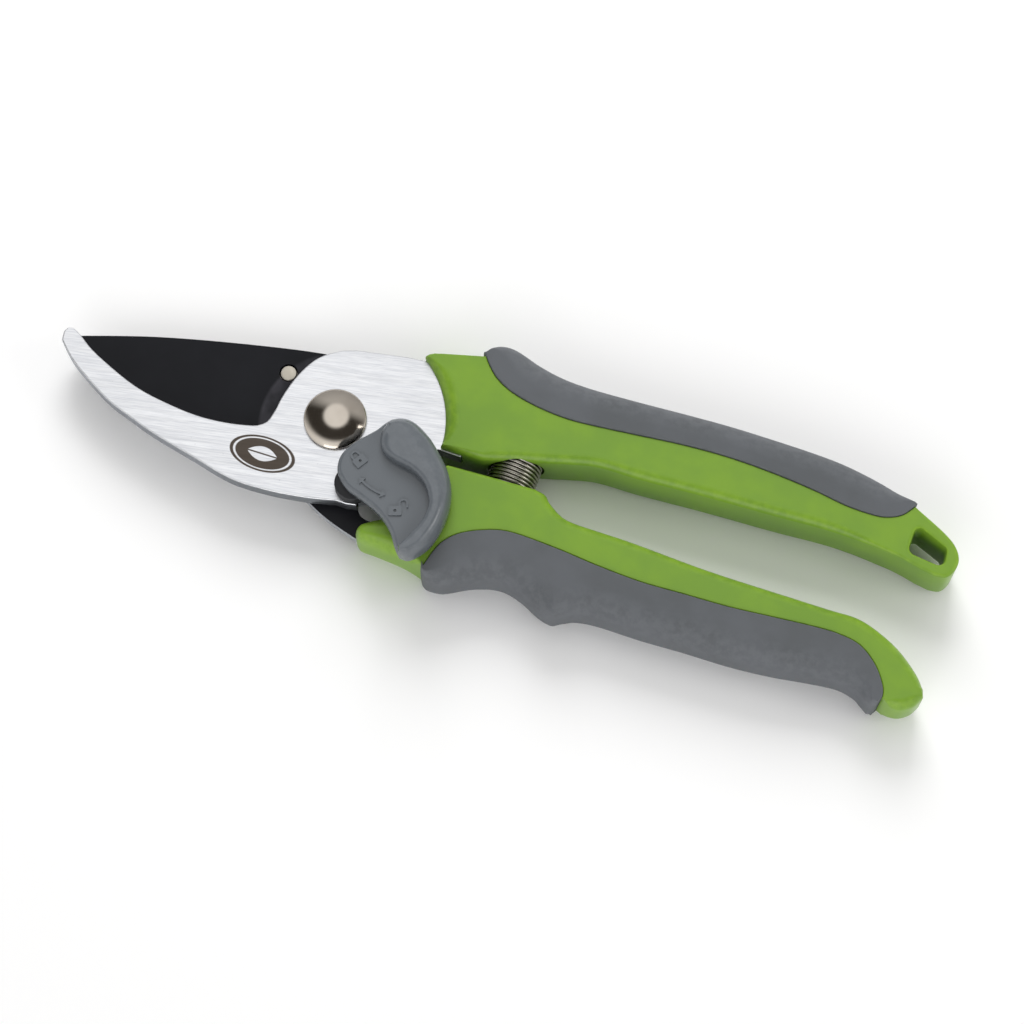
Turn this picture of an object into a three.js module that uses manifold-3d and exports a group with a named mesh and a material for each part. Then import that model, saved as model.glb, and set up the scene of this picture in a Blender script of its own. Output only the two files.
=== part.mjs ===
// Bypass pruning shears with a thumb lock, closed and locked, lying on their back.
// Millimetres. +X runs from the jaws to the handles, +Z up, the main pivot at X = Y = 0.
import * as THREE from "three";
import { mergeVertices } from "three/addons/utils/BufferGeometryUtils.js";
import Module from "manifold-3d";

const wasm = await Module();
wasm.setup();

// ---------------------------------------------------------------- driving dimensions

const FIT = 0.3; // clearance between pieces that touch, slide or are pressed together
const JAW_REACH = 66.2; // pivot to the tip of the hook
const HANDLE_REACH = 144.8; // pivot to the end of the lower handle

const HANDLE_THICKNESS = 14.1; // rigid green shells, face to face
const HANDLE_END_THICKNESS = HANDLE_THICKNESS - 2.1; // the same shells at their ends
const HANDLE_EDGE = 1.0; // rounding of the shells' edges
const GRIP_PROUD = 0.5; // how far the soft grips stand above the shells' faces
const GRIP_WALL = 2.6; // soft wall round the rigid tongue
const GRIP_EDGE = 2.0; // rounding of the grips' outer edges

const HOOK_THICKNESS = 4.0;
const BLADE_THICKNESS = 3.0;
const BLADE_BEVEL = 5.0; // width of the ground bevel on the blade's back
const BLADE_EDGE = 0.4; // thickness left along the cutting edge

const BOLT_DIAMETER = 6.0;
const BOLT_HEAD_DIAMETER = 14.3;
const BOLT_HEAD_HEIGHT = 2.9;
const BUSH_WALL = 1.2;
const PIVOT_DISC_DIAMETER = 17.0;
const PIVOT_DISC_THICKNESS = 0.3;
const PIVOT_WASHER_DIAMETER = 13.0;
const PIVOT_WASHER_THICKNESS = 0.6;
const NUT_ACROSS_FLATS = 10.0;
const RIVET_DIAMETER = 3.7; // its face is level with the blade's
const RIVET_HEAD_DIAMETER = 5.4; // on the blade's back
const RIVET_HEAD_HEIGHT = 0.8;
const RIVET_SUNK = 0.05; // its face lies this far below the blade's, clear of the hook

const SPRING_DIAMETER = 11.5; // outside
const SPRING_WIRE = 0.85;
const SPRING_PITCH = 0.93;
const SPRING_TURNS = 13.5;
const SPRING_X = 42.1; // where the coil's axis crosses between the handles

const FRONT_RADIUS_UPPER = 25.0; // concave front of the upper handle, round the pivot
const FRONT_RADIUS_LOWER = 27.2; // concave front of the lower handle, round the pivot

const LEVER_THICKNESS = 3.4;
const LEVER_RIB_HEIGHT = 3.1; // thumb rib above the lever's face
const LOCK_PIN_DIAMETER = 3.5;
const LOCK_PIN_HEAD_DIAMETER = 6.0;
const LOCK_WASHER_THICKNESS = 0.6;
const CATCH_DIAMETER = 8.4;
const CATCH_PEG_DIAMETER = 3.6;

// ---------------------------------------------------------------- levels, from the back up

const MID = HANDLE_THICKNESS / 2 + GRIP_PROUD; // plane in which the blade meets the hook
const BLADE_TOP = MID - FIT / 2;
const BLADE_BACK = BLADE_TOP - BLADE_THICKNESS;
const HOOK_BACK = MID + FIT / 2;
const HOOK_TOP = HOOK_BACK + HOOK_THICKNESS;
const SHELL_TOP = MID + HANDLE_THICKNESS / 2;
const GRIP_TOP = SHELL_TOP + GRIP_PROUD;
const LEVER_BACK = GRIP_TOP + FIT + 0.1; // the lever's tip passes over the lower grip
const LEVER_TOP = LEVER_BACK + LEVER_THICKNESS;

// ---------------------------------------------------------------- places in the plane

const LOCK_PIVOT = new THREE.Vector2(17.5, -3.9);
const CATCH = new THREE.Vector2(9.6, -13.5); // locked
const LOCK_TURN = THREE.MathUtils.degToRad(25); // locked to open, counter-clockwise
const RIVET = new THREE.Vector2(-15, 8.4);

// The outlines are drawn at these lengths and stretched to the ones asked for: the jaws
// between the neck and the tip, the handles behind the spring.
const DRAWN_JAW = 66.2;
const DRAWN_HANDLE = 144.8;
const JAW_STRETCH = [-18, -60];
const HANDLE_STRETCH = [66, 122];

function along(x) {
  const share = ([from, to]) => THREE.MathUtils.clamp((x - from) / (to - from), 0, 1);
  return (
    x +
    (HANDLE_REACH - DRAWN_HANDLE) * share(HANDLE_STRETCH) -
    (JAW_REACH - DRAWN_JAW) * share(JAW_STRETCH)
  );
}

// ---------------------------------------------------------------- outlines

const vec = ([x, y]) => new THREE.Vector2(along(x), y);

// A smooth run through points.
const smooth = (points, perPoint = 3) =>
  new THREE.SplineCurve(points.map(vec)).getPoints(points.length * perPoint);

// Straight runs between points.
const straight = (points) => points.map(vec);

// An arc of a circle, in degrees.
function arc(x, y, radius, from, to, steps = 12) {
  const rad = THREE.MathUtils.degToRad;
  const curve = new THREE.EllipseCurve(x, y, radius, radius, rad(from), rad(to), to < from);
  return curve.getPoints(steps);
}

const circle = (x, y, radius, steps = 24) => arc(x, y, radius, 0, 360, steps).slice(0, -1);

// A closed outline from runs of points, without points that repeat.
function loop(...runs) {
  const points = runs.flat();
  return points.filter((p, i) => p.distanceTo(points[(i + 1) % points.length]) > 0.02);
}

// ---------------------------------------------------------------- solids

function solid(geometry) {
  const bare = geometry.index ? geometry.toNonIndexed() : geometry.clone();
  bare.deleteAttribute("normal");
  bare.deleteAttribute("uv");
  const merged = mergeVertices(bare, 1e-4);
  return new wasm.Manifold(
    new wasm.Mesh({
      numProp: 3,
      vertProperties: merged.attributes.position.array,
      triVerts: new Uint32Array(merged.index.array),
    }),
  );
}

// A plate of this outline between two levels. edge rounds its rims, grow moves its outline out.
function plate(outline, z0, z1, { edge = 0, grow = 0, segments = 3, holes = [] } = {}) {
  const shape = new THREE.Shape(outline);
  shape.holes = holes.map((hole) => new THREE.Path(hole));
  const geometry = new THREE.ExtrudeGeometry(shape, {
    depth: z1 - z0 - 2 * edge,
    bevelEnabled: edge > 0 || grow !== 0,
    bevelThickness: edge,
    bevelSize: edge,
    bevelOffset: grow - edge,
    bevelSegments: edge > 0 ? segments : 1,
    steps: 1,
  });
  if (edge === 0 && grow !== 0) return plate(offset(outline, grow), z0, z1);
  return solid(geometry.translate(0, 0, z0 + edge));
}

// An outline moved outwards by a distance.
function offset(outline, distance) {
  const turned = THREE.ShapeUtils.isClockWise(outline) ? [...outline].reverse() : outline;
  const count = turned.length;
  return turned.map((p, i) => {
    const before = p.clone().sub(turned[(i + count - 1) % count]).normalize();
    const after = turned[(i + 1) % count].clone().sub(p).normalize();
    const way = before.add(after).normalize();
    return new THREE.Vector2(p.x + way.y * distance, p.y - way.x * distance);
  });
}

// A closed body through outlines of equal length, each at its own level, from the lowest up.
function loft(sections) {
  const count = sections[0].outline.length;
  const positions = sections.flatMap(({ outline, z }) => outline.flatMap((p) => [p.x, p.y, z]));
  const index = [];
  for (let s = 0; s + 1 < sections.length; s++)
    for (let i = 0; i < count; i++) {
      const a = s * count + i;
      const b = s * count + ((i + 1) % count);
      index.push(a, b, b + count, a, b + count, a + count);
    }
  const last = (sections.length - 1) * count;
  for (const [a, b, c] of THREE.ShapeUtils.triangulateShape(sections[0].outline, []))
    index.push(c, b, a);
  for (const [a, b, c] of THREE.ShapeUtils.triangulateShape(sections.at(-1).outline, []))
    index.push(last + a, last + b, last + c);
  const geometry = new THREE.BufferGeometry();
  geometry.setAttribute("position", new THREE.Float32BufferAttribute(positions, 3));
  geometry.setIndex(index);
  return solid(geometry);
}

// A body of revolution about a vertical axis, from a profile of radius and height.
function turned(x, y, profile, segments = 32) {
  const points = profile.map(([radius, z]) => new THREE.Vector2(radius, z));
  const geometry = new THREE.LatheGeometry(points, segments);
  return solid(geometry.rotateX(Math.PI / 2).translate(x, y, 0));
}

const cylinder = (x, y, diameter, z0, z1, segments = 32) =>
  turned(x, y, [[0, z0], [diameter / 2, z0], [diameter / 2, z1], [0, z1]], segments);

// A cylinder along Y between two stations, at the coil's place.
function boreAlongY(diameter, y0, y1, segments = 36) {
  const geometry = new THREE.CylinderGeometry(diameter / 2, diameter / 2, y1 - y0, segments);
  return solid(geometry.translate(SPRING_X, (y0 + y1) / 2, MID));
}

const join = (first, ...rest) => rest.reduce((whole, piece) => whole.add(piece), first);
const cut = (first, ...rest) => rest.reduce((whole, piece) => whole.subtract(piece), first);

const PAINTS = {
  green: { color: 0x7ba63c, roughness: 0.35, metalness: 0 },
  grip: { color: 0x64676a, roughness: 0.7, metalness: 0 },
  lever: { color: 0x707579, roughness: 0.35, metalness: 0 },
  ground: { color: 0xd8dade, roughness: 0.35, metalness: 1 },
  coated: { color: 0x26262b, roughness: 0.45, metalness: 0.3 },
  nickel: { color: 0xb8ae9f, roughness: 0.15, metalness: 1 },
  steel: { color: 0x9c9c9a, roughness: 0.3, metalness: 1 },
  bronze: { color: 0xa9793f, roughness: 0.4, metalness: 1 },
  black: { color: 0x1c1c1f, roughness: 0.5, metalness: 0 },
};

const shears = new THREE.Group();

function add(name, body, paint) {
  const made = body.getMesh();
  const geometry = new THREE.BufferGeometry();
  geometry.setAttribute("position", new THREE.BufferAttribute(made.vertProperties, 3));
  geometry.setIndex(new THREE.BufferAttribute(made.triVerts, 1));
  geometry.computeVertexNormals();
  const mesh = new THREE.Mesh(geometry, new THREE.MeshStandardMaterial(PAINTS[paint]));
  mesh.name = name;
  shears.add(mesh);
}

// ---------------------------------------------------------------- main pivot

const bushDiameter = BOLT_DIAMETER + 2 * (FIT + BUSH_WALL);
const pivotHole = bushDiameter + 2 * FIT;
const washerTop = BLADE_BACK - FIT;
const washerBack = washerTop - PIVOT_WASHER_THICKNESS;
const nutTop = washerBack - FIT;
const nutBack = FIT;
const headBack = HOOK_TOP + FIT;

const DOME_RIM = 0.6; // straight wall under the dome
const DOME_RINGS = 7;

function domeHead() {
  const radius = BOLT_HEAD_DIAMETER / 2;
  const rise = BOLT_HEAD_HEIGHT - DOME_RIM;
  const sphere = (radius * radius + rise * rise) / (2 * rise);
  const profile = [[0, headBack], [radius, headBack]];
  for (let i = 0; i < DOME_RINGS; i++) {
    const angle = Math.asin(radius / sphere) * (1 - i / DOME_RINGS);
    const z = headBack + DOME_RIM + sphere * Math.cos(angle) - (sphere - rise);
    profile.push([sphere * Math.sin(angle), z]);
  }
  profile.push([0, headBack + BOLT_HEAD_HEIGHT]);
  return turned(0, 0, profile, 48);
}

add(
  "pivot_bolt",
  join(domeHead(), cylinder(0, 0, BOLT_DIAMETER, nutBack + FIT, headBack + FIT)),
  "nickel",
);
add(
  "pivot_bush",
  cut(
    cylinder(0, 0, bushDiameter, BLADE_BACK, HOOK_TOP),
    cylinder(0, 0, BOLT_DIAMETER + 2 * FIT, BLADE_BACK - 1, HOOK_TOP + 1),
  ),
  "bronze",
);
const discBack = BLADE_TOP - PIVOT_DISC_THICKNESS;
add(
  "pivot_disc",
  cut(
    cylinder(0, 0, PIVOT_DISC_DIAMETER, discBack, BLADE_TOP, 40),
    cylinder(0, 0, pivotHole, discBack - 1, BLADE_TOP + 1),
  ),
  "black",
);
add(
  "pivot_washer",
  cut(
    cylinder(0, 0, PIVOT_WASHER_DIAMETER, washerBack, washerTop),
    cylinder(0, 0, BOLT_DIAMETER + 2 * FIT, washerBack - 1, washerTop + 1),
  ),
  "steel",
);
add(
  "pivot_nut",
  cut(
    cylinder(0, 0, NUT_ACROSS_FLATS / Math.cos(Math.PI / 6), nutBack, nutTop, 6),
    cylinder(0, 0, BOLT_DIAMETER + 2 * FIT, nutBack - 1, nutTop + 1),
  ),
  "nickel",
);

// ---------------------------------------------------------------- lock: catch path

// The catch swings with the lever: this is its path, as points from locked to open and past it.
const catchArm = CATCH.clone().sub(LOCK_PIVOT);
const PAST_OPEN = 1.6;
const catchPath = [0, 0.25, 0.5, 0.75, 1, PAST_OPEN].map((share) =>
  catchArm.clone().rotateAround(new THREE.Vector2(), share * LOCK_TURN).add(LOCK_PIVOT),
);

// The slot that a round peg needs along that path.
function catchSlot(diameter, z0, z1) {
  const pegs = catchPath.map(({ x, y }) => cylinder(x, y, diameter, z0, z1, 20));
  const strips = catchPath.slice(1).map((to, i) => {
    const from = catchPath[i];
    const side = to.clone().sub(from).normalize().multiplyScalar(diameter / 2);
    const across = new THREE.Vector2(-side.y, side.x);
    const corners = [
      from.clone().sub(across),
      to.clone().sub(across),
      to.clone().add(across),
      from.clone().add(across),
    ];
    return plate(corners, z0, z1);
  });
  return join(...pegs, ...strips);
}

const catchSlotWidth = CATCH_PEG_DIAMETER + 3 * FIT;

// ---------------------------------------------------------------- hook side

const TANG_CORNER_X = 29.8; // the hook's tang shows on the handle's side up to here

const hookOutline = loop(
  smooth([
    [-64.6, 0.5], [-62.3, -0.6], [-57, -3.7], [-45.7, -7.9], [-35.7, -9.4], [-28.5, -9.6],
    [-22, -8.8], [-17.2, -7.6],
  ], 4),
  smooth([
    [-16.2, -7.2], [-14.5, -5.6], [-13.8, -2.6], [-13.4, 1.5], [-12.2, 6.6], [-10.1, 11.3],
    [-7.6, 14.2], [-4.4, 16.4],
  ], 3),
  smooth([[-1.5, 17.5], [5, 18.9], [13.1, 20.3], [22, 20.4], [30, 18.6], [40, 17.8]], 3),
  arc(61, 16.2, 1.6, 90, -90, 8),
  straight([[34.8, 14.6], [32.6, 13.4], [TANG_CORNER_X + 0.9, 6], [TANG_CORNER_X, 1.3]]),
  arc(0, 0, FRONT_RADIUS_UPPER - 2 * FIT, 3, -41, 10),
  straight([[9.4, -17.9]]),
  smooth([
    [7, -17.9], [0.8, -19.5], [-8, -20.9], [-17.4, -21.2], [-27.5, -19.2], [-37.7, -17.1],
    [-44.6, -15.1], [-51.1, -12.9], [-60.2, -7.9], [-64.2, -4.8],
  ], 4),
  smooth([[-65.9, -3.1], [-66.2, -1], [-65.6, 0.2]], 3),
);

add(
  "hook_plate",
  cut(
    plate(hookOutline, HOOK_BACK, HOOK_TOP),
    cylinder(0, 0, pivotHole, 0, SHELL_TOP),
    cylinder(LOCK_PIVOT.x, LOCK_PIVOT.y, LOCK_PIN_DIAMETER + 2 * FIT, 0, SHELL_TOP),
    catchSlot(catchSlotWidth, HOOK_BACK - 1, HOOK_TOP + 1),
  ),
  "ground",
);

// The seam between shell and grip, from the front of the grip to its back.
const upperSeam = [
  [27.2, 25.2], [28.8, 23.3], [31.3, 21.1], [34.9, 19.3], [39.6, 18.1], [45.2, 17.4], [50.7, 17.3],
  [57, 17.9], [65, 18.9], [76.2, 20.3], [86.4, 21], [96.7, 20.9], [107, 20.2], [115.1, 19.3],
  [121.6, 19.4], [124.9, 20.1], [127.8, 21.8], [129.8, 24.6],
];
const upperInner = [
  [35, 1.9], [38.6, 3.1], [42.9, 4.5], [49.4, 6.3], [54, 7.7], [60.3, 9.2], [69.8, 9.6],
  [84.7, 10.8], [101, 11.8], [115, 12.8], [128, 12.4], [135.5, 11.1],
];
const upperShellOutline = loop(
  straight([[17.4, 22.5], [15.2, 21.9]]),
  arc(0, 0, FRONT_RADIUS_UPPER, 55.5, 3.6, 9),
  straight([[28, 1.6], [32, 1.7]]),
  smooth(upperInner, 2),
  smooth([
    [138.6, 10.7], [141.2, 11.2], [142.6, 13.4], [142.7, 16.3], [140.7, 19.2], [136.7, 21.6],
    [129.8, 24.6],
  ], 2),
  smooth([...upperSeam].reverse(), 2),
);
const upperGripOutline = loop(
  smooth([
    [26.4, 25.8], [27.1, 28.3], [29, 29.9], [31.7, 30.5], [35, 30], [39.2, 28.8], [45, 27.8],
    [51.6, 27.6], [62, 28.2], [73.5, 29.1], [83.9, 29.8], [94.1, 30.1], [104.3, 30.2],
    [112.2, 29.9], [120.1, 28.8], [125.7, 27.4], [129.4, 26],
  ], 2),
  smooth([
    [131, 24.4], [130.6, 21], [126, 15.4], [115, 14.4], [96, 15.5], [76, 15], [57, 12.6],
    [45, 12.4], [34, 14.4], [28, 19], [25.6, 23],
  ], 2),
);
const upperTongueOutline = loop(
  smooth([
    [34.5, 25.6], [45, 24.4], [62, 24.9], [84, 26.4], [104, 26.8], [117, 25.6], [122.5, 23.6],
  ], 2),
  smooth([[122, 17.4], [105, 16.6], [80, 16.4], [50, 14.4], [36, 17]], 2),
);
const hangingHole = loop(
  arc(along(132.7), 18.9, 1.2, 60, 180, 5),
  arc(along(133.1), 15.5, 1.6, 190, 265, 5),
  arc(along(138.3), 14.9, 1.5, 275, 370, 6),
  arc(along(138.1), 16.5, 1.5, 10, 65, 4),
);

// The handles thin towards their ends, equally on both faces.
function thinned(body) {
  const share = HANDLE_END_THICKNESS / HANDLE_THICKNESS;
  return body.warp((v) => {
    const t = THREE.MathUtils.smoothstep(v[0], along(104), along(132));
    v[2] = MID + (v[2] - MID) * THREE.MathUtils.lerp(1, share, t);
  });
}

const SHELL_BACK = MID - HANDLE_THICKNESS / 2;
const TONGUE_BACK = SHELL_BACK - GRIP_PROUD + GRIP_WALL;
const TONGUE_TOP = GRIP_TOP - GRIP_WALL;

function shell(outline, tongue) {
  return join(
    plate(outline, SHELL_BACK, SHELL_TOP, { edge: HANDLE_EDGE }),
    plate(tongue, TONGUE_BACK, TONGUE_TOP),
  );
}

function grip(outline, shellOutline, tongue) {
  return cut(
    plate(outline, 0, GRIP_TOP, { edge: GRIP_EDGE }),
    plate(shellOutline, -1, GRIP_TOP + 1, { grow: FIT }),
    plate(tongue, TONGUE_BACK - FIT, TONGUE_TOP + FIT, { grow: FIT }),
  );
}

// The coil and its seats, from the lower handle to the upper one.
const SEAT_FLANGE = 0.8;
const coilBack = -1.9;
const coilLength = SPRING_PITCH * SPRING_TURNS + SPRING_WIRE;
const coilFront = coilBack + coilLength;
const pocketDiameter = SPRING_DIAMETER + 3 * FIT;
const lowerPocketEnd = coilBack - SEAT_FLANGE - 2 * FIT;
const upperPocketEnd = coilFront + SEAT_FLANGE + 2 * FIT;
const SEAT_STEM_DIAMETER = 3.0;
const SEAT_STEM_LENGTH = 1.0;
const SPIGOT_LENGTH = 2.6;
const spigotDiameter = SPRING_DIAMETER - 2 * SPRING_WIRE - 4 * FIT;

const hookTangRoom = plate(hookOutline, HOOK_BACK - FIT, HOOK_TOP + FIT, { grow: FIT });
add(
  "upper_handle",
  thinned(
    cut(
      shell(upperShellOutline, upperTongueOutline),
      plate(hangingHole, -1, GRIP_TOP + 1),
      hookTangRoom,
      boreAlongY(pocketDiameter, coilBack, upperPocketEnd),
      boreAlongY(SEAT_STEM_DIAMETER + 2 * FIT, coilBack, upperPocketEnd + SEAT_STEM_LENGTH + FIT),
    ),
  ),
  "green",
);
add("upper_grip", thinned(grip(upperGripOutline, upperShellOutline, upperTongueOutline)), "grip");

function springSeat(flangeY, facing) {
  const between = (a, b) => [Math.min(a, b), Math.max(a, b)];
  const back = flangeY - facing * SEAT_FLANGE;
  return join(
    boreAlongY(SPRING_DIAMETER, ...between(flangeY, back)),
    boreAlongY(spigotDiameter, ...between(flangeY + facing * SPIGOT_LENGTH, back)),
    boreAlongY(SEAT_STEM_DIAMETER, ...between(back - facing * SEAT_STEM_LENGTH, back)),
  );
}
add("upper_spring_seat", springSeat(coilFront + FIT, -1), "black");

// ---------------------------------------------------------------- blade side

const HUB_RADIUS = 14.2; // clear of the lock pin's head
const SPUR_RADIUS = 19.2; // the part that the catch holds
const cuttingEdge = [[-64, -1.4], [-57, -5.4], [-45.7, -9.9], [-35.7, -11.6], [-28, -12], [-20, -11.6]];
const cuttingRun = smooth(cuttingEdge, 4);
const bladeRest = [
  smooth([[-15, -12], [-8, -14.5], [1.1, -19.4], [7, -21.8], [13.6, -23.6]], 3),
  smooth([[20, -22.6], [30, -20.4], [45, -17], [58, -15.6]], 2),
  arc(along(59), -12.8, 2.8, -90, 90, 8),
  smooth([
    [45, -10], [32, -11.4], [24, -14.8], [18.6, -17.6], [15.2, -18.7], [12.9, -18.2], [11.6, -16.8],
  ], 2),
  arc(0, 0, SPUR_RADIUS, -54, -33, 6),
  arc(0, 0, HUB_RADIUS, -26, 60, 14),
  smooth([[2.5, 16.3], [-9, 15.6], [-27.2, 11.6], [-46.2, 6.5], [-62, 1.1], [-63.9, 0.1]], 4),
].flat();
const bladeFront = loop(cuttingRun, bladeRest);
// The bevel takes the back of the blade away along the cutting edge, and runs out at both ends.
const cuttingCount = loop(cuttingRun).length;
const POINTS_FROM_TIP = 4; // the bevel runs out this many times more slowly at the tip
const RUN_OUT = 3;
const bladeBackOutline = bladeFront.map((p, i) => {
  const share = THREE.MathUtils.clamp(Math.min(i / POINTS_FROM_TIP, cuttingCount - i) / RUN_OUT, 0, 1);
  return new THREE.Vector2(p.x, p.y + BLADE_BEVEL * Math.sin((Math.PI / 2) * share));
});
const bladeBody = loft([
  { outline: bladeBackOutline, z: BLADE_BACK },
  { outline: bladeFront, z: BLADE_TOP - BLADE_EDGE },
  { outline: bladeFront, z: BLADE_TOP },
]);
add(
  "cutting_blade",
  cut(
    bladeBody,
    cylinder(0, 0, pivotHole, 0, SHELL_TOP),
    cylinder(0, 0, PIVOT_DISC_DIAMETER + 2 * FIT, discBack - FIT, SHELL_TOP, 40),
    cylinder(RIVET.x, RIVET.y, RIVET_DIAMETER + 2 * FIT, 0, SHELL_TOP, 28),
    catchSlot(catchSlotWidth, BLADE_BACK - 1, BLADE_TOP + 1),
  ),
  "coated",
);
const rivetHeadTop = BLADE_BACK - FIT;
add(
  "blade_rivet",
  join(
    cylinder(RIVET.x, RIVET.y, RIVET_DIAMETER, rivetHeadTop, BLADE_TOP - RIVET_SUNK, 28),
    cylinder(RIVET.x, RIVET.y, RIVET_HEAD_DIAMETER, rivetHeadTop - RIVET_HEAD_HEIGHT, rivetHeadTop, 28),
  ),
  "nickel",
);

const lowerSeam = [
  [31.2, -26.2], [32, -22.6], [33.4, -19.4], [36.5, -16.3], [42.1, -13.5], [47.6, -12.3],
  [58.5, -12.5], [67, -13.1], [77.7, -13.4], [87.6, -12.8], [97.7, -12.2], [107.4, -11.1],
  [116.9, -9.9], [122.8, -9.5], [128.1, -10.3], [132.6, -13.4], [135.6, -17.4], [136.3, -19.9],
];
const lowerInner = [
  [48.5, -0.4], [51, -0.9], [53, -2.6], [57.5, -4.7], [65.3, -4.8], [73.3, -4.7], [90.2, -5.1],
  [105.4, -4.8], [119, -4.3], [125.4, -4], [130.6, -5.2], [136.6, -7.9], [141.8, -11.8],
  [144.3, -14.8],
];
const lowerShellOutline = loop(
  straight([[35.9, -1.2]]),
  smooth(lowerInner, 2),
  smooth([[144.8, -16.6], [143.6, -18.9], [141.4, -20.6], [139.2, -21], [137.6, -20.6]], 2),
  smooth([...lowerSeam].reverse(), 2),
  arc(16, -22.9, 2.2, -96, -230, 6),
  smooth([[16.6, -19.8], [18.9, -18.3], [21.2, -16.6]], 2),
  arc(0, 0, FRONT_RADIUS_LOWER, -32, -5.5, 7),
  straight([[28, -1.8]]),
);
const lowerGripOutline = loop(
  smooth([
    [30.4, -25.4], [30.8, -27.2], [32.6, -28.7], [36.5, -28.5], [41.9, -25.7], [46, -24.1],
    [49.8, -23.7], [54, -24.8], [58.4, -26.7], [61.6, -27.1], [64.2, -26], [67, -24.7], [72, -24],
    [81.8, -23.8], [91.7, -23.2], [102, -22.8], [111.8, -21.8], [119.1, -20.6], [126.2, -19.7],
    [130.3, -20.1], [133.2, -21.2], [135, -21.2],
  ], 2),
  smooth([
    [136.3, -20.9], [138.6, -17], [133, -9.4], [124, -5.8], [110, -6.9], [90, -8], [70, -8.4],
    [48, -7.8], [36, -11], [29.5, -18], [28.6, -23],
  ], 2),
);
const lowerTongueOutline = loop(
  smooth([
    [30, -24.2], [33, -25.2], [37, -25], [42.5, -22.4], [49.8, -20.6], [59, -23], [70, -20.6],
    [92, -19.8], [112, -18.2], [126, -16.2], [131, -16.6],
  ], 2),
  smooth([[129, -12.6], [122, -8], [105, -8.2], [70, -10], [48, -9.4], [38, -12.5], [30, -16]], 2),
);
const bladeTangRoom = plate(offset(bladeFront, FIT), BLADE_BACK - FIT, BLADE_TOP + FIT);
add(
  "lower_handle",
  thinned(
    cut(
      shell(lowerShellOutline, lowerTongueOutline),
      bladeTangRoom,
      boreAlongY(pocketDiameter, lowerPocketEnd, coilFront),
      boreAlongY(SEAT_STEM_DIAMETER + 2 * FIT, lowerPocketEnd - SEAT_STEM_LENGTH - FIT, coilFront),
    ),
  ),
  "green",
);
add("lower_grip", thinned(grip(lowerGripOutline, lowerShellOutline, lowerTongueOutline)), "grip");
add("lower_spring_seat", springSeat(coilBack - FIT, 1), "black");

// ---------------------------------------------------------------- return spring

class Helix extends THREE.Curve {
  getPoint(t, target = new THREE.Vector3()) {
    const angle = 2 * Math.PI * SPRING_TURNS * t;
    const radius = (SPRING_DIAMETER - SPRING_WIRE) / 2;
    const y = coilBack + SPRING_WIRE / 2 + SPRING_PITCH * SPRING_TURNS * t;
    return target.set(SPRING_X + radius * Math.cos(angle), y, MID + radius * Math.sin(angle));
  }
}
const STEPS_PER_TURN = 12;
const springGeometry = new THREE.ExtrudeGeometry(new THREE.Shape(circle(0, 0, SPRING_WIRE / 2, 6)), {
  extrudePath: new Helix(),
  steps: Math.round(SPRING_TURNS * STEPS_PER_TURN),
});
add("return_spring", solid(springGeometry), "steel");

// ---------------------------------------------------------------- thumb lock

const leverOutline = loop(
  smooth([
    [11.6, 0.6], [13.2, 2.6], [15.8, 3.7], [18.6, 3.4], [22.1, 1.6], [26, -1.6], [29.4, -5.1],
    [31.6, -9], [32.6, -13.3], [32.6, -17.9], [31.6, -22.2], [29.8, -25.3], [27.8, -27],
    [25.8, -27], [24.3, -25.5], [21.5, -21.9], [17.6, -19.1], [13.2, -17.4], [9.2, -16.1],
    [6.4, -13.8], [5.4, -11.6], [5.4, -8.9], [6.9, -5.6], [9.4, -2.6], [10.9, -0.7],
  ], 2),
);
const ribOutline = loop(
  smooth([
    [12.6, 0.7], [15.8, 2.6], [18.6, 2.2], [21.6, 0.5], [25.2, -2.4], [28.5, -5.9], [30.4, -9.5],
    [31.4, -13.5], [31.4, -17.8], [30.6, -21.6], [29, -24.6], [27.4, -25.8],
  ], 2),
  smooth([
    [25.6, -24.4], [27.2, -21.6], [28.3, -18], [28.3, -14.6], [27, -11.7], [24.9, -9.5],
    [21.6, -7.9], [17.6, -7.2], [14.6, -6.2], [12.7, -4], [12, -1.4],
  ], 2),
);
const BOSS_DIAMETER = 9;
const LEVER_EDGE = 1.2; // rounding of the lever's rim
const RIB_EDGE = 0.8; // rounding of the rib's crest
const RIB_ROOT = 1.5; // depth of the rib's foot inside the lever
const PIN_COVER = 0.6; // lever left over the pin's end
const PIN_HEAD_HEIGHT = 1.6;
const bossBack = HOOK_TOP + 2 * FIT + LOCK_WASHER_THICKNESS;
const pinTop = LEVER_TOP - PIN_COVER;
const pinHeadTop = HOOK_BACK - FIT;
const pinHeadBack = pinHeadTop - PIN_HEAD_HEIGHT;
const washerFoot = HOOK_TOP + FIT;
const washerTopFace = washerFoot + LOCK_WASHER_THICKNESS;
const catchHeadTop = LEVER_BACK - FIT;
const catchHeadBack = HOOK_TOP + FIT;
const catchStemTop = LEVER_BACK + LEVER_THICKNESS / 2;
add(
  "lock_lever",
  cut(
    join(
      plate(leverOutline, LEVER_BACK, LEVER_TOP, { edge: LEVER_EDGE }),
      plate(ribOutline, LEVER_TOP - RIB_ROOT, LEVER_TOP + LEVER_RIB_HEIGHT, {
        edge: RIB_EDGE,
        segments: 2,
      }),
      cylinder(LOCK_PIVOT.x, LOCK_PIVOT.y, BOSS_DIAMETER, bossBack, LEVER_TOP),
    ),
    cylinder(LOCK_PIVOT.x, LOCK_PIVOT.y, LOCK_PIN_DIAMETER + 2 * FIT, 0, pinTop + FIT),
    cylinder(CATCH.x, CATCH.y, CATCH_PEG_DIAMETER + 2 * FIT, 0, catchStemTop + FIT, 24),
  ),
  "lever",
);
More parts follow.
